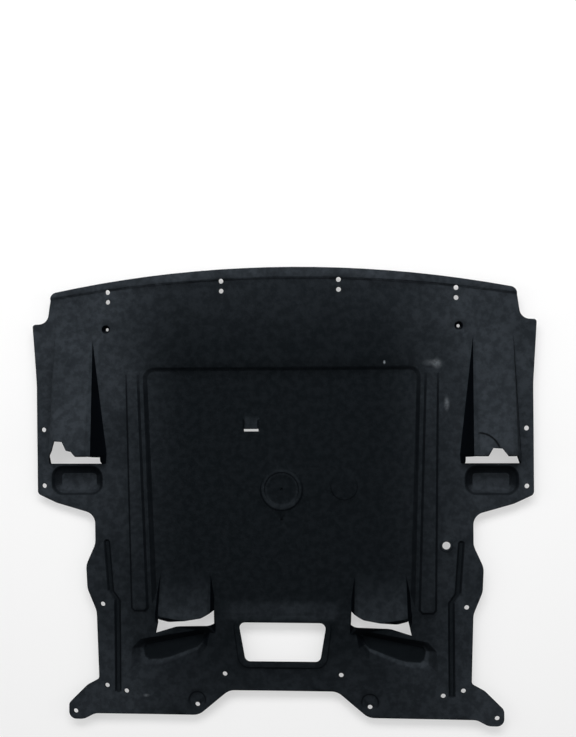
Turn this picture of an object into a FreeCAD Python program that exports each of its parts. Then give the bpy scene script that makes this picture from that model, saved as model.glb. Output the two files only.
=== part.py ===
"""Engine guard: one pressed felt sheet that closes the underside of a car's engine bay.

The sheet is what is left between the two halves of a press tool. The upper half is modelled once as the
body press_form; a copy of it, lowered by the felt's thickness, is taken away, and the sheet that remains
is trimmed to its outline and punched. X runs across the car, Y forward and Z up.
"""
import math
import os

import FreeCAD
import Part
import Sketcher

doc = FreeCAD.newDocument("engine_guard")
sheet = doc.addObject("Spreadsheet::Sheet", "Sizes")
Vector = FreeCAD.Vector

SIZES = {
    # felt and press tool
    "thickness": 4.0,
    "pocket_depth": 15.0,
    "wall_draft": 45.0,
    "tool_margin": 50.0,
    "tool_length": 860.0,
    "tool_depth": 40.0,
    # outline, as half widths from the centre line and runs from the front edge backwards
    "front_radius": 2056.0,
    "front_half": 408.0,
    "front_corner_round": 13.0,
    "wing_root_half": 416.0,
    "wing_root_round": 18.0,
    "wing_front_back": 94.5,
    "wing_front_half": 443.0,
    "wing_round": 5.0,
    "wing_rise": 1.5,
    "wing_taper": 7.0,
    "wing_taper_run": 111.0,
    "wing_taper_round": 200.0,
    "wing_side_run": 192.0,
    "wing_rear_round": 9.0,
    "shoulder_inset": 34.0,
    "shoulder_run": 16.0,
    "shoulder_round": 50.0,
    "waist_half": 332.5,
    "waist_slope_run": 20.0,
    "waist_run": 53.0,
    "waist_round": 22.0,
    "hip_bulge": 17.0,
    "hip_rise_run": 37.5,
    "hip_run": 42.0,
    "hip_lean": 2.0,
    "hip_fall_run": 39.5,
    "hip_round": 30.0,
    "tail_inset": 1.2,
    "tail_taper": 3.8,
    "tail_run": 120.5,
    "tail_round": 8.0,
    "lug_root_reach": 22.5,
    "lug_root_run": 12.0,
    "lug_root_round": 25.0,
    "lug_reach": 55.0,
    "lug_slope_run": 32.0,
    "lug_shoulder_round": 10.0,
    "lug_run": 28.0,
    "lug_round": 13.0,
    "lug_width": 27.0,
    "lug_heel_run": 20.0,
    "lug_heel_round": 25.0,
    "lug_drop": 10.5,
    "rear_half": 149.0,
    "rear_centre_half": 95.0,
    "rear_notch": 45.0,
    "rear_round": 28.0,
    # raised front lip
    "lip_width": 20.7,
    "lip_radius": 2574.0,
    "lip_height": 4.0,
    # sunk centre field
    "field_back": 174.0,
    "field_front_half": 245.0,
    "field_rear_half": 231.0,
    "field_run": 432.0,
    "field_depth": 7.0,
    "field_apron": 22.0,
    "field_round": 20.0,
    "field_cut": 12.0,
    # long stiffening ribs
    "rib_gap": 6.0,
    "rib_front_half": 276.0,
    "rib_rear_half": 269.0,
    "rib_height": 4.0,
    "rib_cut": 6.0,
    # wing air hoods
    "hood_back": 118.0,
    "hood_run": 209.0,
    "hood_mouth": 17.0,
    "hood_height": 40.0,
    "hood_inner_half": 335.0,
    "hood_outer_half": 403.0,
    "hood_inner_spread": 24.5,
    "hood_outer_spread": 12.0,
    "hood_bevel": 6.0,
    "hood_embed": 2.0,
    # wing pockets behind the hoods
    "wing_pocket_inner_half": 318.0,
    "wing_pocket_outer_half": 411.0,
    "wing_pocket_gap": 3.0,
    "wing_pocket_run": 54.0,
    "wing_pocket_round": 21.0,
    # rear air scoops
    "scoop_back": 536.0,
    "scoop_centre_half": 172.0,
    "scoop_run": 81.0,
    "scoop_mouth": 17.0,
    "scoop_slant": 9.5,
    "scoop_height": 20.0,
    "scoop_half_width": 44.0,
    "scoop_spread": 11.0,
    "scoop_bevel": 5.0,
    # rear pockets behind the scoops
    "rear_pocket_inner_half": 127.0,
    "rear_pocket_outer_half": 267.0,
    "rear_pocket_back": 633.0,
    "rear_pocket_slant": 24.0,
    "rear_pocket_run": 89.0,
    "rear_pocket_cut": 14.0,
    # service window and its raised rim
    "window_back": 622.5,
    "window_front_half": 77.6,
    "window_rear_half": 65.5,
    "window_run": 69.0,
    "window_round": 10.0,
    "window_rim": 12.0,
    "window_rim_height": 2.5,
    # side grooves
    "groove_width": 12.0,
    "groove_depth": 3.5,
    "groove_front_half": 318.0,
    "groove_bend_half": 311.0,
    "groove_rear_half": 299.5,
    "groove_back": 478.0,
    "groove_front_run": 91.5,
    "groove_step_run": 16.5,
    "groove_rear_run": 166.0,
    "groove_cut": 3.5,
    # round forms
    "disc_radius": 38.5,
    "disc_height": 3.0,
    "disc_dish_radius": 31.0,
    "disc_back": 390.0,
    "pad_radius": 24.0,
    "pad_height": 1.5,
    "pad_half": 110.0,
    "pad_back": 385.0,
    "cup_radius": 7.5,
    "cup_depth": 9.0,
    "cup_draft": 28.0,
    "cup_hole_radius": 2.9,
    "cup_half": 310.0,
    "cup_back": 105.8,
    "dimple_radius": 16.0,
    "dimple_depth": 3.0,
    "dimple_half": 152.0,
    "dimple_back": 761.0,
    "boss_radius": 11.5,
    "boss_height": 1.5,
    "boss_hole_radius": 7.0,
    "boss_half": 286.0,
    "boss_back": 486.4,
    # small pressed louvre
    "louvre_half": 53.0,
    "louvre_width": 30.0,
    "louvre_back": 262.0,
    "louvre_run": 26.0,
    "louvre_height": 4.0,
    "louvre_cut": 4.0,
    "louvre_slot": 4.5,
    # fixing holes
    "screw_radius": 4.2,
    "pin_radius": 2.2,
    "front_outer_half": 306.0,
    "front_outer_back": 40.1,
    "front_inner_half": 103.2,
    "front_inner_back": 23.1,
    "front_hole_pitch": 17.2,
    "wing_hole_half": 424.2,
    "wing_hole_back": 283.3,
    "wing_hole_pitch": 99.8,
    "side_hole_half": 320.0,
    "side_hole_back": 593.3,
    "window_hole_half": 102.2,
    "window_hole_back": 713.9,
    "tail_outer_half": 313.2,
    "tail_outer_back": 737.6,
    "tail_inner_half": 278.5,
    "tail_inner_back": 747.0,
    "dimple_hole_back": 769.7,
    "lug_hole_half": 370.5,
    "lug_hole_back": 784.0,
    "pin_gap": 54.0,
    # torn lips of the wing hoods
    "left_tear_inner_half": 356.0,
    "left_tear_outer_half": 399.0,
    "left_tear_depth": 27.0,
    "left_tear_step": 11.0,
    "right_tear_half": 371.5,
    "right_tear_width": 34.0,
    "right_tear_depth": 14.0,
}

for row, (alias, number) in enumerate(SIZES.items(), start=1):
    sheet.set(f"A{row}", alias.replace("_", " "))
    sheet.set(f"B{row}", str(number))
    sheet.setAlias(f"B{row}", alias)
doc.recompute()


class Size:
    """A number together with the spreadsheet expression that drives it."""

    def __init__(self, value, text=None):
        self.value = float(value)
        self.text = text or repr(float(value))

    def joined(self, sign, other, value):
        return Size(value, f"({self.text} {sign} {other.text})")

    def __add__(self, other):
        other = to_size(other)
        return self.joined("+", other, self.value + other.value)

    def __sub__(self, other):
        other = to_size(other)
        return self.joined("-", other, self.value - other.value)

    def __mul__(self, other):
        other = to_size(other)
        return self.joined("*", other, self.value * other.value)

    def __truediv__(self, other):
        other = to_size(other)
        return self.joined("/", other, self.value / other.value)

    def __neg__(self):
        return Size(-self.value, f"(0 - {self.text})")


def to_size(item):
    """Plain numbers and sizes both come back as sizes."""
    return item if isinstance(item, Size) else Size(item)


class Sizes:
    """Every spreadsheet alias as an attribute."""

    def __init__(self, numbers):
        for alias, number in numbers.items():
            setattr(self, alias, Size(number, f"Sizes.{alias}"))


size = Sizes(SIZES)


def arc_drop(radius, half):
    """How far an arc with its crown on the centre line has fallen back at a half width."""
    value = radius.value - math.sqrt(radius.value ** 2 - half.value ** 2)
    return Size(value, f"({radius.text} - sqrt({radius.text}^2 - {half.text}^2))")


def bind(item, prop, amount):
    """Drives a property from the spreadsheet."""
    item.setExpression(prop, to_size(amount).text)


class Corner:
    """A corner of an outline: where its edges would meet, whether it is rounded or cut off straight, and the
    bow of the edge after it."""

    def __init__(self, across, back, rounding=None, cut=None, bow=None):
        self.across = to_size(across)
        self.back = to_size(back)
        self.rounding = to_size(rounding) if rounding is not None else None
        self.cut = to_size(cut) if cut is not None else None
        self.bow = bow

    def point(self):
        return Vector(self.across.value, -self.back.value, 0)


class Drawing:
    """Collects a sketch's geometry and constraints, then ties the constraints to the spreadsheet."""

    def __init__(self, sketch):
        self.sketch = sketch
        self.constraints = []
        self.driven = []

    def tie(self, *terms):
        self.constraints.append(Sketcher.Constraint(*terms))

    def drive(self, amount, *terms):
        text = amount.text if amount.value > 0 else f"0 - {amount.text}"
        self.driven.append((len(self.constraints), text))
        self.tie(*terms, abs(amount.value))

    def pin(self, shape, spot, across, back):
        """Fixes a point at its distance from the centre line and behind the front edge."""
        if across.value > 0:
            self.drive(across, "DistanceX", -1, 1, shape, spot)
        elif across.value < 0:
            self.drive(across, "DistanceX", shape, spot, -1, 1)
        else:
            self.tie("PointOnObject", shape, spot, -2)
        if back.value > 0:
            self.drive(back, "DistanceY", shape, spot, -1, 1)
        elif back.value < 0:
            self.drive(back, "DistanceY", -1, 1, shape, spot)
        else:
            self.tie("PointOnObject", shape, spot, -1)

    def circle(self, across, back, radius):
        across = to_size(across)
        back = to_size(back)
        centre = Vector(across.value, -back.value, 0)
        shape = self.sketch.addGeometry(Part.Circle(centre, Vector(0, 0, 1), radius.value))
        self.drive(radius, "Radius", shape)
        self.pin(shape, 3, across, back)

    def loop(self, corners):
        """A closed outline of straight or bowed edges with rounded, cut or sharp corners."""
        count = len(corners)
        points = [corner.point() for corner in corners]
        ends = []
        for index, corner in enumerate(corners):
            before = (points[index] - points[index - 1]).normalize()
            after = (points[(index + 1) % count] - points[index]).normalize()
            turn = before.x * after.y - before.y * after.x
            reach = corner.cut.value if corner.cut else 0.0
            if corner.rounding:
                half_angle = math.acos(max(-1.0, min(1.0, before.dot(after)))) / 2
                reach = corner.rounding.value * math.tan(half_angle)
            ends.append((points[index] - before * reach, points[index] + after * reach, turn, before))
        edges = [self.edge(corner, ends[index][1], ends[(index + 1) % count][0])
                 for index, corner in enumerate(corners)]
        for index, corner in enumerate(corners):
            mark = self.sketch.addGeometry(Part.Point(points[index]), True)
            self.pin(mark, 1, corner.across, corner.back)
            before_edge, _, before_end = edges[index - 1]
            after_edge, after_end, _ = edges[index]
            if not corner.rounding and not corner.cut:
                self.tie("Coincident", before_edge, before_end, mark, 1)
                self.tie("Coincident", after_edge, after_end, mark, 1)
                continue
            self.tie("PointOnObject", mark, 1, before_edge)
            self.tie("PointOnObject", mark, 1, after_edge)
            first, last, turn, before = ends[index]
            if corner.cut:
                bevel = self.sketch.addGeometry(Part.LineSegment(first, last))
                self.tie("Coincident", before_edge, before_end, bevel, 1)
                self.tie("Coincident", bevel, 2, after_edge, after_end)
                self.drive(corner.cut, "Distance", mark, 1, bevel, 1)
                self.drive(corner.cut, "Distance", mark, 1, bevel, 2)
                continue
            side = Vector(-before.y, before.x, 0) * (1 if turn > 0 else -1)
            arc, arc_first, arc_last = self.arc(first + side * corner.rounding.value, first, last, turn)
            self.tie("Tangent", before_edge, before_end, arc, arc_first)
            self.tie("Tangent", arc, arc_last, after_edge, after_end)
            self.drive(corner.rounding, "Radius", arc)

    def edge(self, corner, start, finish):
        """The straight or forward-bowed edge that follows a corner, with the numbers of its two ends."""
        if not corner.bow:
            return self.sketch.addGeometry(Part.LineSegment(start, finish)), 1, 2
        chord = finish - start
        sink = math.sqrt(corner.bow.value ** 2 - (chord.Length / 2) ** 2)
        centre = (start + finish) / 2 + Vector(chord.y, -chord.x, 0).normalize() * sink
        shape, first, last = self.arc(centre, start, finish, -1)
        self.drive(corner.bow, "Radius", shape)
        return shape, first, last

    def arc(self, centre, first, last, turn):
        """An arc from first to last, to the left when turn is positive, with the numbers of its two ends."""
        spokes = [math.atan2(spot.y - centre.y, spot.x - centre.x) for spot in (first, last)]
        circle = Part.Circle(centre, Vector(0, 0, 1), (first - centre).Length)
        if turn > 0:
            return self.sketch.addGeometry(Part.ArcOfCircle(circle, spokes[0], spokes[1])), 1, 2
        return self.sketch.addGeometry(Part.ArcOfCircle(circle, spokes[1], spokes[0])), 2, 1

    def finish(self):
        self.sketch.addConstraint(self.constraints)
        for index, text in self.driven:
            self.sketch.setExpression(f"Constraints[{index}]", text)
        return self.sketch


form = doc.addObject("PartDesign::Body", "press_form")
face_height = size.pocket_depth + size.thickness


def plane(body, role):
    """One of a body's own origin planes."""
    return next(item for item in body.Origin.OriginFeatures if item.Role == role)


def flat_sketch(name, height, owner=None):
    """A level sketch at a height, inside a body or on its own."""
    if owner:
        sketch = owner.newObject("Sketcher::SketchObject", name)
        sketch.AttachmentSupport = [(plane(owner, "XY_Plane"), "")]
        sketch.MapMode = "FlatFace"
        bind(sketch, "AttachmentOffset.Base.z", height)
    else:
        sketch = doc.addObject("Sketcher::SketchObject", name)
        bind(sketch, "Placement.Base.z", height)
    return Drawing(sketch)


def raise_up(name, drawing, height, draft=size.wall_draft):
    """A raised form whose walls lean in by the draft."""
    pad = form.newObject("PartDesign::Pad", name)
    pad.Profile = drawing.finish()
    bind(pad, "Length", height)
    bind(pad, "TaperAngle", -draft)
    form.Tip = pad
    doc.recompute()
    return pad


def sink(name, drawing, depth, draft=size.wall_draft):
    """A sunk form whose walls lean in by the draft."""
    pocket = form.newObject("PartDesign::Pocket", name)
    pocket.Profile = drawing.finish()
    bind(pocket, "Length", depth)
    bind(pocket, "TaperAngle", -draft)
    form.Tip = pocket
    doc.recompute()
    return pocket


def mirror(name, features):
    """The same features on the other side of the centre line."""
    copy = form.newObject("PartDesign::Mirrored", name)
    copy.Originals = features
    copy.MirrorPlane = (plane(form, "YZ_Plane"), [""])
    form.Tip = copy
    doc.recompute()
    return copy


def loft(kind, name, sections):
    """A straight-sided form through a row of closed sections."""
    shape = form.newObject(f"PartDesign::{kind}Loft", name)
    shape.Profile = sections[0]
    shape.Sections = sections[1:]
    shape.Ruled = True
    form.Tip = shape
    doc.recompute()
    return shape


# Solid half of the press tool, up to the face that shapes the top of the flat felt.
tool = flat_sketch("tool_outline", face_height, form)
tool_half = size.wing_front_half + size.tool_margin
tool.loop([
    Corner(-tool_half, -size.tool_margin),
    Corner(tool_half, -size.tool_margin),
    Corner(tool_half, size.tool_length),
    Corner(-tool_half, size.tool_length),
])
block = form.newObject("PartDesign::Pad", "tool_block")
block.Profile = tool.finish()
block.Reversed = True
bind(block, "Length", size.tool_depth + face_height)
form.Tip = block
doc.recompute()

# Lip along the front edge, wide in the middle and narrower towards the corners.
lip = flat_sketch("lip_outline", face_height, form)
lip_end = size.lip_width + arc_drop(size.lip_radius, tool_half)
lip.loop([
    Corner(-tool_half, lip_end, bow=size.lip_radius),
    Corner(tool_half, lip_end),
    Corner(tool_half, -size.tool_margin),
    Corner(-tool_half, -size.tool_margin),
])
raise_up("front_lip", lip, size.lip_height)

# Sunk field: short walls at the front and sides, and a long apron up to the service window.
field_end = size.field_back + size.field_run
floor_end = field_end - size.field_apron
floor_front_half = size.field_front_half - size.field_depth
floor_rear_half = size.field_rear_half - size.field_depth
field_rim = flat_sketch("field_rim", face_height, form)
field_rim.loop([
    Corner(-size.field_front_half, size.field_back, size.field_round),
    Corner(size.field_front_half, size.field_back, size.field_round),
    Corner(size.field_rear_half, field_end, cut=size.field_cut),
    Corner(-size.field_rear_half, field_end, cut=size.field_cut),
])
floor_round = size.field_round - size.field_depth
field_floor = flat_sketch("field_floor", face_height - size.field_depth, form)
field_floor.loop([
    Corner(-floor_front_half, size.field_back + size.field_depth, floor_round),
    Corner(floor_front_half, size.field_back + size.field_depth, floor_round),
    Corner(floor_rear_half, floor_end, cut=size.field_cut),
    Corner(-floor_rear_half, floor_end, cut=size.field_cut),
])
loft("Subtractive", "centre_field", [field_rim.finish(), field_floor.finish()])

# Long rib beside the field.
rib = flat_sketch("rib_outline", face_height, form)
rib.loop([
    Corner(size.field_front_half + size.rib_gap, size.field_back + size.rib_gap, cut=size.rib_cut),
    Corner(size.rib_front_half, size.field_back + size.rib_gap, cut=size.rib_cut),
    Corner(size.rib_rear_half, field_end, cut=size.rib_cut),
    Corner(size.field_rear_half + size.rib_gap, field_end, cut=size.rib_cut),
])
long_rib = raise_up("long_rib", rib, size.rib_height)
mirror("long_ribs", [long_rib])

# Groove that stiffens the side between the waist and the tail.
groove_bend = size.groove_back + size.groove_front_run
groove_step = groove_bend + size.groove_step_run
groove_end = groove_step + size.groove_rear_run
groove = flat_sketch("groove_outline", face_height, form)
groove.loop([
    Corner(size.groove_front_half - size.groove_width, size.groove_back, cut=size.groove_cut),
    Corner(size.groove_front_half, size.groove_back, cut=size.groove_cut),
    Corner(size.groove_bend_half, groove_bend),
    Corner(size.groove_rear_half, groove_step),
    Corner(size.groove_rear_half, groove_end, cut=size.groove_cut),
    Corner(size.groove_rear_half - size.groove_width, groove_end, cut=size.groove_cut),
    Corner(size.groove_rear_half - size.groove_width, groove_step),
    Corner(size.groove_bend_half - size.groove_width, groove_bend),
])
side_groove = sink("side_groove", groove, size.groove_depth)
mirror("side_grooves", [side_groove])

# Pocket behind each wing hood.
mouth_end = size.hood_back + size.hood_run + size.hood_mouth
wing_pocket_front = mouth_end + size.wing_pocket_gap
wing_pocket_end = wing_pocket_front + size.wing_pocket_run
wing_cup = flat_sketch("wing_pocket_outline", face_height, form)
wing_cup.loop([
    Corner(size.wing_pocket_inner_half, wing_pocket_front, size.wing_pocket_round),
    Corner(size.wing_pocket_outer_half, wing_pocket_front, size.wing_pocket_round),
    Corner(size.wing_pocket_outer_half, wing_pocket_end, size.wing_pocket_round),
    Corner(size.wing_pocket_inner_half, wing_pocket_end, size.wing_pocket_round),
])
wing_pocket = sink("wing_pocket", wing_cup, size.pocket_depth)
mirror("wing_pockets", [wing_pocket])

# Lens-shaped pocket behind each rear scoop, with long walls on its outer and rear sides.
lens_end = size.rear_pocket_back + size.rear_pocket_run
lens_slant_back = size.rear_pocket_back + size.rear_pocket_slant
lens_rim = flat_sketch("rear_pocket_rim", face_height, form)
lens_rim.loop([
    Corner(size.rear_pocket_inner_half, size.rear_pocket_back, cut=size.rear_pocket_cut / 2),
    Corner(size.rear_pocket_outer_half, lens_slant_back, cut=size.rear_pocket_cut),
    Corner(size.rear_pocket_outer_half + 4, lens_end, cut=size.rear_pocket_cut),
    Corner(size.rear_pocket_outer_half - 49, lens_end - 3, cut=size.rear_pocket_cut),
    Corner(size.rear_pocket_inner_half + 10, lens_end - 42, cut=size.rear_pocket_cut),
])
lens_floor = flat_sketch("rear_pocket_floor", face_height - size.pocket_depth, form)
lens_floor.loop([
    Corner(size.rear_pocket_inner_half + 12, size.rear_pocket_back + 14, cut=size.rear_pocket_cut / 4),
    Corner(size.rear_pocket_outer_half - 18, lens_slant_back + 12, cut=size.rear_pocket_cut / 3),
    Corner(size.rear_pocket_outer_half - 24, lens_end - 31, cut=size.rear_pocket_cut / 3),
    Corner(size.rear_pocket_outer_half - 58, lens_end - 33, cut=size.rear_pocket_cut / 2),
    Corner(size.rear_pocket_inner_half + 21, lens_end - 56, cut=size.rear_pocket_cut / 3),
])
rear_pocket = loft("Subtractive", "rear_pocket", [lens_rim.finish(), lens_floor.finish()])
mirror("rear_pockets", [rear_pocket])

# Raised rim around the service window.
window_end = size.window_back + size.window_run
rim = flat_sketch("window_rim_outline", face_height, form)
rim_round = size.window_round + size.window_rim
rim.loop([
    Corner(-size.window_front_half - size.window_rim, size.window_back - size.window_rim, rim_round),
    Corner(size.window_front_half + size.window_rim, size.window_back - size.window_rim, rim_round),
    Corner(size.window_rear_half + size.window_rim, window_end + size.window_rim, rim_round),
    Corner(-size.window_rear_half - size.window_rim, window_end + size.window_rim, rim_round),
])
raise_up("window_rim", rim, size.window_rim_height)


def hood_section(name, back, top, bevel, inner, outer, inner_lean, outer_lean, turn=None):
    """An upright section across a hood: a bevelled top between two leaning walls that run into the tool."""
    sketch = form.newObject("Sketcher::SketchObject", name)
    sketch.AttachmentSupport = [(plane(form, "XZ_Plane"), "")]
    sketch.MapMode = "FlatFace"
    bind(sketch, "AttachmentOffset.Base.z", back)
    if turn:
        slanted = FreeCAD.Rotation(Vector(0, 1, 0), -turn.value)
        sketch.AttachmentOffset = FreeCAD.Placement(Vector(0, 0, 0), slanted)
        bind(sketch, "AttachmentOffset.Rotation.Angle", turn)
        bind(sketch, "AttachmentOffset.Base.x", size.scoop_centre_half)
    drawing = Drawing(sketch)
    drawing.loop([
        Corner(inner - inner_lean * top, 0),
        Corner(inner - inner_lean * bevel, bevel - top),
        Corner(inner + bevel, -top),
        Corner(outer - bevel, -top),
        Corner(outer + outer_lean * bevel, bevel - top),
        Corner(outer + outer_lean * top, 0),
    ])
    return drawing.finish()


# Wing hood: a long ramp up to an open mouth, and a short steep wall down behind it.
hidden = size.hood_embed
hood_lip = size.hood_back + size.hood_run
inner_lean = size.hood_inner_spread / size.hood_height
outer_lean = size.hood_outer_spread / size.hood_height
wing_hood = loft("Additive", "wing_hood", [
    hood_section("hood_start", size.hood_back - size.hood_run / size.hood_height * hidden, face_height - hidden,
                 size.hood_bevel / 6, size.hood_inner_half, size.hood_outer_half, inner_lean, outer_lean),
    hood_section("hood_lip", hood_lip, face_height + size.hood_height,
                 size.hood_bevel, size.hood_inner_half, size.hood_outer_half, inner_lean, outer_lean),
    hood_section("hood_foot", mouth_end + size.hood_mouth / size.hood_height * hidden, face_height - hidden,
                 size.hood_bevel / 6, size.hood_inner_half - size.hood_inner_spread,
                 size.hood_outer_half + size.hood_outer_spread, inner_lean, outer_lean),
])
mirror("wing_hoods", [wing_hood])

# Rear scoop: a shorter hood that climbs out of the field, its mouth turned a little outwards.
scoop_lip = size.scoop_back + size.scoop_run
scoop_foot = scoop_lip + size.scoop_mouth
scoop_lean = size.scoop_spread / size.scoop_height
scoop_inner = size.scoop_centre_half - size.scoop_half_width
scoop_outer = size.scoop_centre_half + size.scoop_half_width
scoop_wide = size.scoop_half_width + size.scoop_spread
scoop_climb = size.scoop_height + size.field_depth
rear_scoop = loft("Additive", "rear_scoop", [
    hood_section("scoop_start", size.scoop_back - size.scoop_run / scoop_climb * hidden,
                 face_height - size.field_depth - hidden, size.scoop_bevel / 5,
                 scoop_inner, scoop_outer, scoop_lean, scoop_lean),
    hood_section("scoop_lip", scoop_lip, face_height + size.scoop_height, size.scoop_bevel,
                 -size.scoop_half_width, size.scoop_half_width, scoop_lean, scoop_lean, size.scoop_slant),
    hood_section("scoop_foot", scoop_foot + size.scoop_mouth / size.scoop_height * hidden, face_height - hidden,
                 size.scoop_bevel / 5, -scoop_wide, scoop_wide, scoop_lean, scoop_lean, size.scoop_slant),
])
mirror("rear_scoops", [rear_scoop])

# Round forms: the dished disc and the plain pad in the field, the cups, the dimples and the boss.
floor_height = face_height - size.field_depth
disc = flat_sketch("disc_outline", floor_height, form)
disc.circle(0, size.disc_back, size.disc_radius)
raise_up("centre_disc", disc, size.disc_height)
dish = flat_sketch("dish_outline", floor_height + size.disc_height, form)
dish.circle(0, size.disc_back, size.disc_dish_radius)
sink("disc_dish", dish, size.disc_height * 0.7)
plain = flat_sketch("pad_outline", floor_height, form)
plain.circle(size.pad_half, size.pad_back, size.pad_radius)
raise_up("plain_pad", plain, size.pad_height)
cup = flat_sketch("cup_outline", face_height, form)
cup.circle(size.cup_half, size.cup_back, size.cup_radius)
mirror("cups", [sink("cup", cup, size.cup_depth, size.cup_draft)])
dimple = flat_sketch("dimple_outline", face_height, form)
dimple.circle(size.dimple_half, size.dimple_back, size.dimple_radius)
mirror("dimples", [sink("dimple", dimple, size.dimple_depth)])
boss = flat_sketch("boss_outline", face_height, form)
boss.circle(size.boss_half, size.boss_back, size.boss_radius)
raise_up("hole_boss", boss, size.boss_height)
louvre = flat_sketch("louvre_outline", floor_height, form)
louvre_end = size.louvre_back + size.louvre_run
louvre_inner = size.louvre_half - size.louvre_width / 2
louvre_outer = size.louvre_half + size.louvre_width / 2
louvre.loop([
    Corner(-louvre_outer, size.louvre_back, cut=size.louvre_cut),
    Corner(-louvre_inner, size.louvre_back, cut=size.louvre_cut),
    Corner(-louvre_inner, louvre_end, cut=size.louvre_cut),
    Corner(-louvre_outer, louvre_end, cut=size.louvre_cut),
])
raise_up("louvre", louvre, size.louvre_height)


def prism(name, drawing):
    """A tall upright prism through the whole height of the felt."""
    solid = doc.addObject("Part::Extrusion", name)
    solid.Base = drawing.finish()
    solid.DirMode = "Normal"
    solid.Solid = True
    bind(solid, "LengthFwd", size.tool_depth * 2 + face_height + size.hood_height)
    doc.recompute()
    return solid


# Outline of the trimmed sheet, right half; the left half is its mirror image.
wing_end = size.wing_front_back + size.wing_taper_run + size.wing_side_run
shoulder_back = wing_end + size.shoulder_run
waist_front = shoulder_back + size.waist_slope_run
waist_rear = waist_front + size.waist_run
hip_front = waist_rear + size.hip_rise_run
hip_rear = hip_front + size.hip_run
tail_front = hip_rear + size.hip_fall_run
tail_rear = tail_front + size.tail_run
lug_root = tail_rear + size.lug_root_run
lug_front = lug_root + size.lug_slope_run
length = lug_front + size.lug_run
rear_back = length - size.lug_drop
wing_half = size.wing_front_half - size.wing_taper
tail_half = size.waist_half - size.tail_inset
tail_rear_half = tail_half - size.tail_taper
lug_half = tail_rear_half + size.lug_reach
right_side = [
    Corner(size.front_half, arc_drop(size.front_radius, size.front_half), size.front_corner_round),
    Corner(size.wing_root_half, size.wing_front_back, size.wing_root_round),
    Corner(size.wing_front_half, size.wing_front_back + size.wing_rise, size.wing_round),
    Corner(wing_half, size.wing_front_back + size.wing_taper_run, size.wing_taper_round),
    Corner(wing_half, wing_end, size.wing_rear_round),
    Corner(wing_half - size.shoulder_inset, shoulder_back, size.shoulder_round),
    Corner(size.waist_half, waist_front, size.waist_round),
    Corner(size.waist_half, waist_rear, size.hip_round),
    Corner(size.waist_half + size.hip_bulge, hip_front, size.hip_round),
    Corner(size.waist_half + size.hip_bulge - size.hip_lean, hip_rear, size.hip_round),
    Corner(tail_half, tail_front, size.hip_round),
    Corner(tail_rear_half, tail_rear, size.tail_round),
    Corner(tail_rear_half + size.lug_root_reach, lug_root, size.lug_root_round),
    Corner(lug_half, lug_front, size.lug_shoulder_round),
    Corner(lug_half, length, size.lug_round),
    Corner(lug_half - size.lug_width, length, size.lug_heel_round),
    Corner(lug_half - size.lug_width - size.lug_heel_run, rear_back, size.lug_heel_round),
    Corner(size.rear_half, rear_back, size.rear_round),
    Corner(size.rear_centre_half, rear_back - size.rear_notch, size.rear_round),
]
trim = flat_sketch("trim_outline", -size.tool_depth)
trim.loop([Corner(0, 0, bow=size.front_radius)] + right_side + [Corner(0, rear_back - size.rear_notch)])
right_trim = prism("right_trim", trim)
left_trim = doc.addObject("Part::Mirroring", "left_trim")
left_trim.Source = right_trim
left_trim.Normal = Vector(1, 0, 0)
trimmed = doc.addObject("Part::Fuse", "trim_prism")
trimmed.Base = right_trim
trimmed.Tool = left_trim
trimmed.Refine = True

# Holes for the screws and clips, in pairs about the centre line.
holes = flat_sketch("hole_outlines", -size.tool_depth)
hole_pairs = [
    (size.front_outer_half, size.front_outer_back, size.screw_radius),
    (size.front_outer_half, size.front_outer_back + size.front_hole_pitch, size.screw_radius),
    (size.front_inner_half, size.front_inner_back, size.screw_radius),
    (size.front_inner_half, size.front_inner_back + size.front_hole_pitch, size.screw_radius),
    (size.cup_half, size.cup_back, size.cup_hole_radius),
    (size.wing_hole_half, size.wing_hole_back, size.screw_radius),
    (size.wing_hole_half, size.wing_hole_back + size.wing_hole_pitch, size.screw_radius),
    (size.side_hole_half, size.side_hole_back, size.screw_radius),
    (size.window_hole_half, size.window_hole_back, size.screw_radius),
    (size.tail_outer_half, size.tail_outer_back, size.screw_radius),
    (size.tail_inner_half, size.tail_inner_back, size.screw_radius),
    (size.dimple_half, size.dimple_hole_back, size.screw_radius),
    (size.lug_hole_half, size.lug_hole_back, size.screw_radius),
]
for across, back, radius in hole_pairs:
    holes.circle(across, back, radius)
    holes.circle(-across, back, radius)
holes.circle(size.boss_half, size.boss_back, size.boss_hole_radius)
holes.circle(0, size.disc_back, size.pin_radius)
holes.circle(0, size.disc_back + size.pin_gap, size.pin_radius)
hole_prism = prism("hole_prisms", holes)

# Service window.
window = flat_sketch("window_outline", -size.tool_depth)
window.loop([
    Corner(-size.window_front_half, size.window_back, size.window_round),
    Corner(size.window_front_half, size.window_back, size.window_round),
    Corner(size.window_rear_half, window_end, size.window_round),
    Corner(-size.window_rear_half, window_end, size.window_round),
])
window_prism = prism("window_prism", window)

# Mouths of the wing hoods. The felt over both mouths is torn, more on the left than on the right.
mouth_inner = size.hood_inner_half - size.hood_inner_spread * 0.65
mouth_outer = size.hood_outer_half + size.hood_outer_spread * 0.75
mouth_lip = hood_lip + 1.5
right_mouth = flat_sketch("right_mouth_outline", -size.tool_depth)
tear_half = size.right_tear_width / 2
right_mouth.loop([
    Corner(mouth_inner, mouth_end),
    Corner(mouth_inner, mouth_lip + 3),
    Corner(size.hood_inner_half, mouth_lip),
    Corner(size.right_tear_half - tear_half, mouth_lip),
    Corner(size.right_tear_half - tear_half / 2, mouth_lip - size.right_tear_depth),
    Corner(size.right_tear_half + tear_half / 2.5, mouth_lip - size.right_tear_depth + 1),
    Corner(size.right_tear_half + tear_half, mouth_lip),
    Corner(size.hood_outer_half, mouth_lip),
    Corner(mouth_outer, mouth_end),
])
left_mouth = flat_sketch("left_mouth_outline", -size.tool_depth)
tear_top = mouth_lip - size.left_tear_depth
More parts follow.
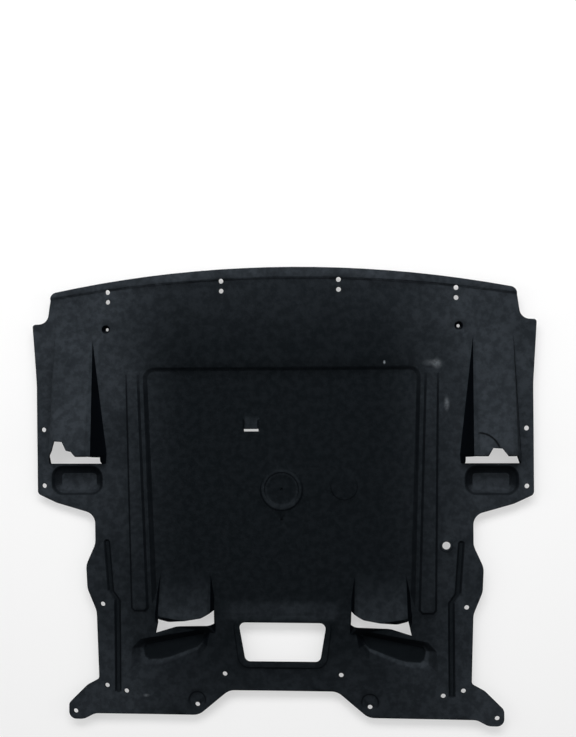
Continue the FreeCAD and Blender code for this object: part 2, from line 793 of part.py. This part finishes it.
left_mouth.loop([
    Corner(-mouth_outer, mouth_end),
    Corner(-size.left_tear_outer_half, mouth_lip - size.left_tear_step),
    Corner(-size.left_tear_outer_half + 4, tear_top),
    Corner(-size.left_tear_outer_half + 18, tear_top + 1),
    Corner(-size.left_tear_inner_half - 17, mouth_lip - size.left_tear_step),
    Corner(-size.left_tear_inner_half - 8, mouth_lip - size.left_tear_step + 2),
    Corner(-size.left_tear_inner_half, mouth_lip),
    Corner(-size.hood_inner_half, mouth_lip),
    Corner(-mouth_inner, mouth_lip + 3),
    Corner(-mouth_inner, mouth_end),
])

# Mouths of the rear scoops, narrow in the middle and wider at both ends.
slope = Size(math.tan(math.radians(size.scoop_slant.value)), "tan(Sizes.scoop_slant * 1 deg)")


def scoop_spot(side, along, line, shift, rounding=None):
    """A corner of a scoop's mouth, placed along its slanted lip or foot line."""
    across = size.scoop_centre_half + along
    return Corner(across * side, line + slope * along + shift, rounding)


def scoop_mouth(name, side):
    mouth = flat_sketch(name, -size.tool_depth)
    run = [
        scoop_spot(side, -size.scoop_half_width - 8, scoop_foot, 0),
        scoop_spot(side, -size.scoop_half_width - 7, scoop_lip, -6),
        scoop_spot(side, -size.scoop_half_width + 14, scoop_lip, 1, 18),
        scoop_spot(side, size.scoop_half_width - 16, scoop_lip, 0, 18),
        scoop_spot(side, size.scoop_half_width + 3, scoop_lip, -9),
        scoop_spot(side, size.scoop_half_width + 9, scoop_foot, 1),
        scoop_spot(side, size.scoop_half_width - 26, scoop_foot, -4, 30),
    ]
    mouth.loop(run if side > 0 else run[::-1])
    return prism(name.replace("outline", "prism"), mouth)


# Mouth of the small louvre.
louvre_mouth = flat_sketch("louvre_mouth_outline", -size.tool_depth)
louvre_mouth.loop([
    Corner(-louvre_outer + 2, louvre_end - size.louvre_slot),
    Corner(-louvre_inner - 2, louvre_end - size.louvre_slot),
    Corner(-louvre_inner - 2, louvre_end),
    Corner(-louvre_outer + 2, louvre_end),
])
punches = doc.addObject("Part::Compound", "punches")
punches.Links = [
    hole_prism,
    window_prism,
    prism("right_mouth_prism", right_mouth),
    prism("left_mouth_prism", left_mouth),
    scoop_mouth("right_scoop_outline", 1),
    scoop_mouth("left_scoop_outline", -1),
    prism("louvre_mouth_prism", louvre_mouth),
]

# The felt left between the press form and its lowered copy, trimmed and punched.
lowered = doc.addObject("Part::Compound", "lowered_form")
lowered.Links = [form]
bind(lowered, "Placement.Base.z", -size.thickness)
pressed = doc.addObject("Part::Cut", "pressed_felt")
pressed.Base = form
pressed.Tool = lowered
blank = doc.addObject("Part::Common", "trimmed_felt")
blank.Base = pressed
blank.Tool = trimmed
guard = doc.addObject("Part::Cut", "engine_guard")
guard.Label = "engine_guard"
guard.Base = blank
guard.Tool = punches
guard.Refine = True
bind(guard, "Placement.Base.y", length / 2)
doc.recompute()

for item in doc.Objects:
    if "Invalid" in item.State or "Error" in item.State:
        raise RuntimeError(f"{item.Name} did not build")
    shape = getattr(item, "Shape", None)
    if shape is not None and (shape.isNull() or not shape.isValid()):
        raise RuntimeError(f"{item.Name} has no sound shape")

os.makedirs("parts", exist_ok=True)
guard.Shape.exportStep(f"parts/{guard.Label}.step")
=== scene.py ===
"""Engine guard: a pressed black felt undertray lying flat on a pale floor, seen from above."""

import math

import bmesh
import bpy
from mathutils import Matrix, Vector, noise


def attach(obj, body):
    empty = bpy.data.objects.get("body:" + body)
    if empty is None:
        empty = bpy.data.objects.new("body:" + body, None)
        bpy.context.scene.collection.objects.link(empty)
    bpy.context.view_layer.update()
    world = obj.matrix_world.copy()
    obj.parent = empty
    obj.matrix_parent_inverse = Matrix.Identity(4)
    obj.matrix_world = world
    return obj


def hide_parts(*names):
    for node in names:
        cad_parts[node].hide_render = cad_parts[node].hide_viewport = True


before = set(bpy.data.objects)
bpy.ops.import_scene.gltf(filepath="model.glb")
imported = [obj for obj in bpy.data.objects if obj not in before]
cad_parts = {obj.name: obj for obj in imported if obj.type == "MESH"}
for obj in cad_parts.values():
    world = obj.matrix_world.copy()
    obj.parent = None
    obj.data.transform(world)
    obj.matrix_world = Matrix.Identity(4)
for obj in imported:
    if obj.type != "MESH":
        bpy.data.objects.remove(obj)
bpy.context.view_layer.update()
NODE = "engine_guard"
WHITE = (1.0, 1.0, 1.0, 1.0)

# Felt in the two tooling pin holes on the centre line: how far forward it lies, and the height of its top.
PIN_WEBS = ((0.009, 0.0110), (-0.045, 0.0100))
WEB_THICKNESS = 0.001
WEB_SIDES = 24

# Corners of the mesh nearer than the first are one; the grid's cuts are exact to the second.
SAME_CORNER = 1e-5
CUT_TOLERANCE = 1e-6

# Felt lower than the foot lies on the floor and stays still; above foot and rise it waves in full.
WAVE_FOOT = 0.004
WAVE_RISE = 0.01
RIPPLE_SHARE = 0.5
RIPPLE_SCALE = 2.3
RIPPLE_SHIFT = Vector((7.1, 3.2, 0.0))

# Noise in the felt: scale, detail and roughness.
FIBRE = (900.0, 3.0, 0.75)
TUFT = (220.0, 4.0, 0.65)
PATCH = (85.0, 3.0, 0.6)
CLOUD = (9.0, 3.0, 0.6)

# How the noise breaks up the dust and painted light: ramps over it, then the share of each on dusty and lit
# felt and on clean felt.
CLOUD_RAMP = (0.25, 0.75)
CLOUD_LEAST = 0.6
CLOUD_GAIN = 0.5
LINT_FIBRES = (0.56, 0.72)
LINT_TUFTS = (0.40, 0.62)
MOTTLE_RAMP = (0.36, 0.66)
DUST_AND_LIGHT_SHARE = 0.6
LINT_ON_DUST_AND_LIGHT = 0.56
LINT_ON_CLEAN = 0.105
MOTTLE_ON_DUST_AND_LIGHT = 0.3
MOTTLE_ON_CLEAN = 0.1
RUB_TUFTS = (0.30, 0.64)
RUB_LEAST = 0.5
RUB_GAIN = 0.7
NAP_OF_FIBRE = 0.5
NAP_OF_TUFT = 0.9
EDGE_SAMPLES = 6

# Areas of the sheet: an amount, then ramps as axis, where it is nothing and where it is full.
# The axes are across, aside (the distance from the centre line), along, height and ring (see DISC_RING).
# These four let the hoods' outer sides and some shallow steps count as level, so they take the lit colour
# instead of the painted wall shade.
HOOD_SIDES = (0.5, (("aside", 0.30, 0.31), ("height", 0.0195, 0.0240)))
SHALLOW_STEPS = (0.7, (("height", 0.0095, 0.0110), ("height", 0.0240, 0.0220)))
FIELD_STEPS = (0.7, (("aside", 0.30, 0.285), ("along", 0.17, 0.21)))
LIP_STEP = (1.0, (("along", 0.30, 0.32),))
# Areas painted lighter: dust, together with painted light where tops, rims, ledges, flanges and the wings
# catch the lamps.
DUST_AND_LIGHT_AREAS = {
    "sides": (0.55, (("aside", 0.16, 0.36),)),
    "front of the sides": (0.45, (("aside", 0.16, 0.36), ("along", -0.15, 0.25))),
    "wing flanges": (0.55, (("aside", 0.405, 0.425),)),
    "disc ring": (0.25, (("ring", 0.0065, 0.0025),)),
    "louvre": (0.35, (("across", -0.066, -0.061), ("across", -0.036, -0.041), ("along", 0.108, 0.112),
                      ("along", 0.140, 0.130))),
    "window ledge": (0.3, (("along", -0.184, -0.196), ("along", -0.224, -0.216), ("aside", 0.102, 0.086))),
    "scoop tops": (0.18, (("height", 0.014, 0.024), ("along", -0.13, -0.16), ("along", -0.24, -0.23),
                          ("aside", 0.23, 0.22), ("aside", 0.09, 0.10))),
    "front": (0.35, (("along", 0.24, 0.40),)),
    "rear": (0.40, (("along", -0.22, -0.40),)),
    "hood tops": (0.7, (("height", 0.020, 0.050),)),
    "wing pockets": (0.4, (("height", 0.012, 0.006), ("aside", 0.29, 0.31))),
    "rear pocket rims": (0.5, (("height", 0.0048, 0.0062), ("height", 0.0110, 0.0080),
                               ("aside", 0.29, 0.28), ("along", -0.20, -0.22))),
    "front lip": (0.7, (("height", 0.0200, 0.0225), ("along", 0.32, 0.35))),
}
# Painted shade: the side grooves and rear pocket floors are kept dark, free of dust and painted light.
SHADED_HOLLOWS = {
    "side grooves": (0.7, (("height", 0.0182, 0.0165), ("height", 0.0130, 0.0145), ("aside", 0.27, 0.28))),
    "rear pocket floors": (1.0, (("height", 0.0065, 0.0045), ("aside", 0.29, 0.28), ("along", -0.20, -0.22))),
}

# The pressed disc in the middle of the field: how far forward its centre is, and its ring's radius.
DISC_ALONG = 0.009
DISC_RING = 0.0305

# A face counts as level by how far it faces up; one that faces forward counts for a share of that. Level
# faces take the lit colour and steep walls the painted wall shade.
LEVEL_RAMP = (0.48, 0.94)
FORWARD_SHARE = 0.35

# Marks on the felt, one of them a painted highlight: across, along, half length, half width and strength.
SMEARS_AND_HIGHLIGHT = (
    (0.2722, 0.2285, 0.0120, 0.0120, 0.30),
    (0.2620, 0.2300, 0.0200, 0.0080, 0.16),
    # A painted highlight on a small oval boss.
    (0.2885, 0.1590, 0.0065, 0.0170, 0.32),
    (-0.2430, -0.3553, 0.0090, 0.0040, 0.30),
)
FLECK = (0.1817, 0.2311, 0.0028, 0.0045, 1.1)

# The crack beside the right tear, painted as a line of shade, follows a piece of a circle.
CRACK_CENTRE = (0.3394, 0.0745)
CRACK_RADIUS = 0.0354
CRACK_EDGE = (0.0026, 0.0004)
CRACK_REACH = (0.85, (("across", 0.337, 0.342), ("along", 0.083, 0.088), ("height", 0.03, 0.04)))
CRACK_SHADE_COLOR = (0.001, 0.001, 0.001, 1.0)

# Lights: name, place, target, size and power.
LIGHTS = (
    ("front_light", (0.0, 1.7, 1.9), (0.0, 0.05, 0.0), (2.4, 0.9), 58.0),
    ("left_light", (-2.1, 0.3, 1.6), (-0.3, 0.0, 0.0), (0.8, 1.8), 12.0),
    ("right_light", (2.1, 0.3, 1.6), (0.3, 0.0, 0.0), (0.8, 1.8), 12.0),
)
FLOOR_GAP = 0.0005
FLOOR_GLOW_SHARE = 0.5
FLOOR_ROUGHNESS = 0.9
FLOOR_GLOSS = 0.1
SENSOR_WIDTH = 36.0

bl_info = {
    "name": "Engine Guard",
    "version": (1, 0, 0),
    "blender": (4, 5, 0),
    "location": "View3D > Sidebar > Engine Guard",
    "description": "Builds the looks of a pressed felt engine guard and its studio",
    "category": "Object",
}


class Socket:
    """A shader value that can be added, scaled and compared like a number."""

    def __init__(self, shader, link):
        self.shader = shader
        self.link = link

    def math(self, operation, *others):
        return self.shader.node("ShaderNodeMath", {"operation": operation}, (self, *others))

    def __add__(self, other):
        return self.math("ADD", other)

    __radd__ = __add__

    def __sub__(self, other):
        return self.math("SUBTRACT", other)

    def __rsub__(self, other):
        return self.shader.node("ShaderNodeMath", {"operation": "SUBTRACT"}, (other, self))

    def __mul__(self, other):
        return self.math("MULTIPLY", other)

    __rmul__ = __mul__

    def __truediv__(self, other):
        return self.math("DIVIDE", other)

    def __rtruediv__(self, other):
        return self.shader.node("ShaderNodeMath", {"operation": "DIVIDE"}, (other, self))

    def __pow__(self, power):
        return self.math("POWER", power)

    def __abs__(self):
        return self.math("ABSOLUTE")

    def at_least(self, other):
        return self.math("MAXIMUM", other)

    def clamp(self):
        return self.math("MINIMUM", 1.0).at_least(0.0)


def total(values):
    """The sum of several shader values."""
    first, *others = values
    for value in others:
        first = first + value
    return first


class Shader:
    """The node tree of a material or a world, with one way to add a node."""

    def __init__(self, tree):
        self.tree = tree

    def node(self, kind, settings=None, inputs=(), output=0):
        """Adds a node, sets or links its inputs by place or name, and returns one output."""
        node = self.tree.nodes.new(kind)
        for key, value in (settings or {}).items():
            setattr(node, key, value)
        pairs = inputs.items() if isinstance(inputs, dict) else enumerate(inputs)
        for key, value in pairs:
            self.feed(node, key, value)
        return Socket(self, node.outputs[output])

    def feed(self, node, key, value):
        """Links or sets one input of a node."""
        if isinstance(value, Socket):
            self.tree.links.new(value.link, node.inputs[key])
        else:
            node.inputs[key].default_value = value

    def ramp(self, value, low, high):
        """0 at low, 1 at high and smooth between."""
        settings = {"interpolation_type": "SMOOTHSTEP"}
        return self.node("ShaderNodeMapRange", settings, {0: value, 1: low, 2: high, 3: 0.0, 4: 1.0})

    def mix(self, share, first, second):
        """A colour between two others."""
        return self.node("ShaderNodeMix", {"data_type": "RGBA"}, {0: share, 6: first, 7: second}, 2)

    def parts(self, vector):
        """The three numbers of a vector."""
        return [self.node("ShaderNodeSeparateXYZ", inputs=(vector,), output=axis) for axis in range(3)]

    def seen(self):
        """1 for what the camera sees, straight or in a mirror or glass, and 0 for light on the object."""
        rays = ("Is Camera Ray", "Is Glossy Ray", "Is Transmission Ray")
        return total(self.node("ShaderNodeLightPath", output=ray) for ray in rays).clamp()


class GuardSheetProperties(bpy.types.PropertyGroup):
    """The felt sheet's looks."""

    felt_color: bpy.props.FloatVectorProperty(
        name="Felt", description="Colour of the clean felt", subtype="COLOR", size=4,
        default=(0.0046, 0.0062, 0.0076, 1.0), min=0.0, max=1.0)
    # Dust and rubbing, together with painted light on lit tops, rims, ledges and flanges.
    dust_and_light_color: bpy.props.FloatVectorProperty(
        name="Worn felt", description="Colour of dusty and rubbed felt", subtype="COLOR", size=4,
        default=(0.031, 0.037, 0.044, 1.0), min=0.0, max=1.0)
    # Painted shade on the steep walls.
    wall_shade_color: bpy.props.FloatVectorProperty(
        name="Wall", description="Colour of the clean felt on the steep walls", subtype="COLOR", size=4,
        default=(0.0009, 0.0015, 0.0024, 1.0), min=0.0, max=1.0)
    # Also the colour of the one painted highlight.
    scuff_and_highlight_color: bpy.props.FloatVectorProperty(
        name="Scuff", description="Colour of the bare scuff marks", subtype="COLOR", size=4,
        default=(0.20, 0.22, 0.24, 1.0), min=0.0, max=1.0)
    roughness: bpy.props.FloatProperty(
        name="Roughness", description="Roughness of the felt", default=0.93, min=0.0, max=1.0)
    gloss: bpy.props.FloatProperty(
        name="Gloss", description="Specular level of the felt", default=0.015, min=0.0, max=1.0)
    nap_depth: bpy.props.FloatProperty(
        name="Nap depth", description="Depth of the fibres and tufts", default=0.0012, min=0.0, unit="LENGTH")
    nap_strength: bpy.props.FloatProperty(
        name="Nap strength", description="How strongly the nap shows", default=0.55, min=0.0, max=1.0)
    edge_softness: bpy.props.FloatProperty(
        name="Edge softness", description="Radius over which pressed edges look soft",
        default=0.003, min=0.0, unit="LENGTH")
    wave_height: bpy.props.FloatProperty(
        name="Wave height", description="How far the felt waves out of its pressed shape",
        default=0.0012, min=0.0, unit="LENGTH")
    wave_length: bpy.props.FloatProperty(
        name="Wave length", description="Length of the felt's waves", default=0.16, min=0.01, unit="LENGTH")
    pin_radius: bpy.props.FloatProperty(
        name="Pin radius", description="Radius of the webs in the pin holes",
        default=0.0023, min=0.0, unit="LENGTH")
    cell: bpy.props.FloatProperty(
        name="Cell", description="Spacing of the cuts that let the sheet wave",
        default=0.022, min=0.005, unit="LENGTH")
    smooth_angle: bpy.props.FloatProperty(
        name="Smooth angle", description="Edges flatter than this are shaded smooth",
        default=math.radians(38), unit="ROTATION")


class GuardStageProperties(bpy.types.PropertyGroup):
    """The studio around the part."""

    floor_color: bpy.props.FloatVectorProperty(
        name="Floor", description="Colour of the floor", subtype="COLOR", size=4,
        default=(0.9, 0.9, 0.9, 1.0), min=0.0, max=1.0)
    floor_size: bpy.props.FloatProperty(
        name="Floor size", description="Side of the floor", default=60.0, min=1.0, unit="LENGTH")
    sky_light: bpy.props.FloatProperty(
        name="Sky light", description="Strength of the even light from all round", default=0.22, min=0.0)
    backdrop: bpy.props.FloatProperty(
        name="Backdrop", description="Brightness of the background, where 1 is white", default=0.6, min=0.0)
    camera_aim: bpy.props.FloatVectorProperty(
        name="Camera aim", description="Point in the middle of the picture", subtype="XYZ", size=3,
        default=(0.01378, 0.2215, 0.019), unit="LENGTH")
    camera_turn: bpy.props.FloatVectorProperty(
        name="Camera turn", description="Turn away from straight down about X, Y and Z", subtype="EULER",
        size=3, default=(math.radians(-0.2), math.radians(4.43), math.radians(-0.5)))
    camera_distance: bpy.props.FloatProperty(
        name="Camera distance", description="From the camera to the sheet",
        default=1.75, min=0.2, unit="LENGTH")
    lens: bpy.props.FloatProperty(
        name="Lens", description="Focal length", default=48.85, min=10.0, unit="CAMERA")


def add_waves(mesh, amount, length):
    """Moves both faces of the sheet up and down together, never below the floor."""
    for vertex in mesh.vertices:
        place = Vector((vertex.co.x, vertex.co.y, 0.0)) / length
        lift = noise.noise(place) + RIPPLE_SHARE * noise.noise(place * RIPPLE_SCALE + RIPPLE_SHIFT)
        share = min(1.0, max(0.0, (vertex.co.z - WAVE_FOOT) / WAVE_RISE))
        vertex.co.z += amount * lift * share


def cut_cells(mesh, step):
    """Cuts the sheet along a square grid, so that its wide flats can bend."""
    shape = bmesh.new()
    shape.from_mesh(mesh)
    bmesh.ops.remove_doubles(shape, verts=shape.verts, dist=SAME_CORNER)
    low = [min(vertex.co[axis] for vertex in shape.verts) for axis in range(2)]
    high = [max(vertex.co[axis] for vertex in shape.verts) for axis in range(2)]
    for axis in range(2):
        normal = Vector((1, 0, 0)) if axis == 0 else Vector((0, 1, 0))
        count = int((high[axis] - low[axis]) / step)
        for index in range(1, count):
            place = normal * (low[axis] + (high[axis] - low[axis]) * index / count)
            everything = shape.verts[:] + shape.edges[:] + shape.faces[:]
            bmesh.ops.bisect_plane(shape, geom=everything, dist=CUT_TOLERANCE, plane_co=place,
                                   plane_no=normal)
    shape.to_mesh(mesh)
    shape.free()


def close_pin_holes(mesh, radius):
    """Leaves a thin web of felt in the two tooling pin holes of the centre field."""
    shape = bmesh.new()
    shape.from_mesh(mesh)
    for along, height in PIN_WEBS:
        place = Matrix.Translation((0.0, along, height - WEB_THICKNESS / 2))
        bmesh.ops.create_cone(shape, cap_ends=True, segments=WEB_SIDES, radius1=radius, radius2=radius,
                              depth=WEB_THICKNESS, matrix=place)
    shape.to_mesh(mesh)
    shape.free()


class Felt:
    """Black needled felt: tangled fibres, pale lint, dusty felt with painted light towards the edges, painted
    shade on the steep walls and in hollows, and a few marks, one of them a painted highlight and one the
    painted shade of a cracked curve.
    """

    def __init__(self, look):
        self.look = look
        self.material = bpy.data.materials.new("black_felt")
        self.material.use_nodes = True
        self.shader = Shader(self.material.node_tree)
        self.spot = self.shader.node("ShaderNodeTexCoord", output="Object")
        across, along, height = self.shader.parts(self.spot)
        self.axes = {"across": across, "aside": abs(across), "along": along, "height": height}
        self.axes["ring"] = abs(self.distance(0.0, DISC_ALONG) - DISC_RING)
        self.fibre = self.grain(FIBRE)
        self.tuft = self.grain(TUFT)

    def grain(self, kind):
        """Noise of one coarseness."""
        scale, detail, rough = kind
        inputs = {"Vector": self.spot, "Scale": scale, "Detail": detail, "Roughness": rough}
        return self.shader.node("ShaderNodeTexNoise", inputs=inputs)

    def distance(self, x, y, length=1.0, width=1.0):
        """How far a spot of the sheet is from a point, measured in a length and a width."""
        sideways = (self.axes["across"] - x) / length
        lengthways = (self.axes["along"] - y) / width
        return (sideways ** 2.0 + lengthways ** 2.0).math("SQRT")

    def area(self, amount, ramps):
        """The amount times all of the ramps."""
        share = amount
        for axis, none, full in ramps:
            share = self.shader.ramp(self.axes[axis], none, full) * share
        return share

    # Painted light and shade by facing: level faces take the lit colour and steep walls the painted wall
    # shade.
    def level(self):
        """1 on faces that look up, 0 on steep walls, and between on walls that catch the light or dust."""
        outward = self.shader.node("ShaderNodeNewGeometry", output="True Normal")
        sideways, forward, upward = self.shader.parts(outward)
        away = (sideways * self.axes["across"].math("SIGN")).at_least(0.0)
        facing = upward + forward.at_least(0.0) * FORWARD_SHARE + away * self.area(*HOOD_SIDES)
        level = self.shader.ramp(facing, *LEVEL_RAMP)
        steps = self.area(*SHALLOW_STEPS) * self.area(*FIELD_STEPS).at_least(self.area(*LIP_STEP))
        return level + (1.0 - level) * steps

    def dust_and_light_share(self):
        """How dusty, linty and rubbed the felt is, with painted light mixed into the dusty share and painted
        shade keeping the side grooves and rear pocket floors dark.
        """
        ramp = self.shader.ramp
        cloud = self.grain(CLOUD)
        # Dust and painted light on lit tops, rims, ledges and flanges.
        dust_and_light_mask = total(self.area(*area) for area in DUST_AND_LIGHT_AREAS.values()).clamp()
        dust_and_light_mask = dust_and_light_mask * (ramp(cloud, *CLOUD_RAMP) * CLOUD_GAIN + CLOUD_LEAST)
        # Painted shade in the side grooves and rear pocket floors.
        unlit = total(self.area(*area) for area in SHADED_HOLLOWS.values()).clamp()
        lint = ramp(self.fibre, *LINT_FIBRES) * ramp(self.tuft, *LINT_TUFTS)
        mottle = ramp(self.grain(PATCH), *MOTTLE_RAMP)
        share = dust_and_light_mask * DUST_AND_LIGHT_SHARE
        share = share + lint * (dust_and_light_mask * LINT_ON_DUST_AND_LIGHT + LINT_ON_CLEAN)
        share = share + mottle * (dust_and_light_mask * MOTTLE_ON_DUST_AND_LIGHT + MOTTLE_ON_CLEAN)
        return share.clamp() * (1.0 - unlit)

    def blot(self, x, y, length, width, strength):
        """A soft oval mark."""
        return self.shader.ramp(self.distance(x, y, length, width), 1.0, 0.0) * strength

    def scuffs_and_highlight(self):
        """Rub marks and one painted highlight, broken up by the tufts, and one pale fleck."""
        rubbed = self.shader.ramp(self.tuft, *RUB_TUFTS) * RUB_GAIN + RUB_LEAST
        smears_and_highlight = total(self.blot(*smear) for smear in SMEARS_AND_HIGHLIGHT)
        return (smears_and_highlight * rubbed + self.blot(*FLECK)).clamp()

    def crack_shade(self):
        """Painted shade where the felt of the right hood is cracked along a curve."""
        ring = abs(self.distance(*CRACK_CENTRE) - CRACK_RADIUS)
        return self.shader.ramp(ring, *CRACK_EDGE) * self.area(*CRACK_REACH)

    def finish(self):
        """Joins colour, roughness and nap, and returns the material."""
        look = self.look
        shader = self.shader
        surface = shader.tree.nodes["Principled BSDF"]
        level = self.level()
        # Steep walls take the painted wall shade; dust and painted light go only on level faces.
        color = shader.mix(self.dust_and_light_share() * level, look.felt_color, look.dust_and_light_color)
        color = shader.mix(level, look.wall_shade_color, color)
        # Rub marks and one painted highlight over the felt.
        color = shader.mix(self.scuffs_and_highlight(), color, look.scuff_and_highlight_color)
        # Painted shade along the crack.
        color = shader.mix(self.crack_shade(), color, CRACK_SHADE_COLOR)
        rounded = shader.node("ShaderNodeBevel", {"samples": EDGE_SAMPLES}, {"Radius": look.edge_softness})
        nap = {
            "Strength": look.nap_strength,
            "Distance": look.nap_depth,
            "Height": self.fibre * NAP_OF_FIBRE + self.tuft * NAP_OF_TUFT,
            "Normal": rounded,
        }
        bump = shader.node("ShaderNodeBump", inputs=nap)
        shader.feed(surface, "Base Color", color)
        shader.feed(surface, "Roughness", look.roughness)
        shader.feed(surface, "Specular IOR Level", look.gloss)
        shader.feed(surface, "Normal", bump)
        return self.material


class GUARD_OT_sheet(bpy.types.Operator):
    """Builds the felt sheet over the pressed CAD form"""

    bl_idname = "guard.sheet"
    bl_label = "Felt sheet"

    def execute(self, context):
        look = context.scene.guard_sheet
        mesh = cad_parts[NODE].data.copy()
        mesh.name = "felt_sheet"
        cut_cells(mesh, look.cell)
        close_pin_holes(mesh, look.pin_radius)
        add_waves(mesh, look.wave_height, look.wave_length)
        mesh.materials.clear()
        mesh.materials.append(Felt(look).finish())
        sheet = bpy.data.objects.new("felt_sheet", mesh)
        context.scene.collection.objects.link(sheet)
        for polygon in mesh.polygons:
            polygon.use_smooth = True
        mesh.set_sharp_from_angle(angle=look.smooth_angle)
        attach(sheet, "root")
        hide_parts(NODE)
        return {"FINISHED"}


def floor_material(color):
    """A matt pale floor that keeps the shadows and looks nearly white to the camera."""
    material = bpy.data.materials.new("pale_floor")
    material.use_nodes = True
    shader = Shader(material.node_tree)
    surface = shader.tree.nodes["Principled BSDF"]
    shader.feed(surface, "Base Color", color)
    shader.feed(surface, "Roughness", FLOOR_ROUGHNESS)
    shader.feed(surface, "Specular IOR Level", FLOOR_GLOSS)
    glow = shader.node("ShaderNodeEmission", inputs={"Color": WHITE, "Strength": 1.0})
    plain = Socket(shader, surface.outputs[0])
    both = shader.node("ShaderNodeMixShader", inputs=(shader.seen() * FLOOR_GLOW_SHARE, plain, glow))
    shader.feed(shader.tree.nodes["Material Output"], "Surface", both)
    return material


def studio_world(sky_light, backdrop):
    """Even light from all round, in front of a pale background."""
    world = bpy.data.worlds.new("studio")
    world.use_nodes = True
    shader = Shader(world.node_tree)
    light = shader.node("ShaderNodeBackground", inputs={"Color": WHITE, "Strength": sky_light})
    pale = shader.node("ShaderNodeBackground", inputs={"Color": WHITE, "Strength": backdrop})
    both = shader.node("ShaderNodeMixShader", inputs=(shader.seen(), light, pale))
    shader.feed(shader.tree.nodes["World Output"], "Surface", both)
    return world


def area_light(context, name, place, target, size, power):
    """A soft rectangular light aimed at a point."""
    light = bpy.data.lights.new(name, "AREA")
    light.shape = "RECTANGLE"
    light.size, light.size_y = size
    light.energy = power
    lamp = bpy.data.objects.new(name, light)
    lamp.location = place
    lamp.rotation_euler = (Vector(target) - Vector(place)).to_track_quat("-Z", "Y").to_euler()
    context.scene.collection.objects.link(lamp)


def add_camera(scene, look):
    """A camera that looks down on the sheet, turned a little to one side."""
    camera = bpy.data.cameras.new("camera")
    camera.lens = look.lens
    camera.sensor_width = SENSOR_WIDTH
    about_x, about_y, about_z = look.camera_turn
    turn = (Matrix.Rotation(about_y, 3, "Y") @ Matrix.Rotation(about_x, 3, "X")
            @ Matrix.Rotation(about_z, 3, "Z"))
    place = Vector(look.camera_aim) + turn @ Vector((0, 0, look.camera_distance))
    holder = bpy.data.objects.new("camera", camera)
    holder.matrix_world = Matrix.Translation(place) @ turn.to_4x4()
    scene.collection.objects.link(holder)
    scene.camera = holder


class GUARD_OT_stage(bpy.types.Operator):
    """Builds the floor, the light and the camera"""

    bl_idname = "guard.stage"
    bl_label = "Studio"

    def execute(self, context):
        scene = context.scene
        look = scene.guard_stage
        bpy.ops.mesh.primitive_plane_add(size=look.floor_size, location=(0, 0, -FLOOR_GAP))
        floor = context.active_object
        floor.name = "floor"
        floor.data.materials.append(floor_material(look.floor_color))
        scene.world = studio_world(look.sky_light, look.backdrop)
        for light in LIGHTS:
            area_light(context, *light)
        add_camera(scene, look)
        scene.view_settings.view_transform = "Standard"
        return {"FINISHED"}


class GUARD_PT_panel(bpy.types.Panel):
    """Lists the pieces and their settings"""

    bl_label = "Engine Guard"
    bl_idname = "GUARD_PT_panel"
    bl_space_type = "VIEW_3D"
    bl_region_type = "UI"
    bl_category = "Engine Guard"

    def draw(self, context):
        for operator, group in ((GUARD_OT_sheet, context.scene.guard_sheet),
                                (GUARD_OT_stage, context.scene.guard_stage)):
            box = self.layout.box()
            box.operator(operator.bl_idname)
            for name in group.__annotations__:
                box.prop(group, name)


CLASSES = (GuardSheetProperties, GuardStageProperties, GUARD_OT_sheet, GUARD_OT_stage, GUARD_PT_panel)


def register():
    for item in CLASSES:
        bpy.utils.register_class(item)
    bpy.types.Scene.guard_sheet = bpy.props.PointerProperty(type=GuardSheetProperties)
    bpy.types.Scene.guard_stage = bpy.props.PointerProperty(type=GuardStageProperties)


def unregister():
    del bpy.types.Scene.guard_stage
    del bpy.types.Scene.guard_sheet
    for item in reversed(CLASSES):
        bpy.utils.unregister_class(item)


def main():
    register()
    bpy.ops.guard.sheet()
    bpy.ops.guard.stage()


if __name__ == "__main__":
    main()
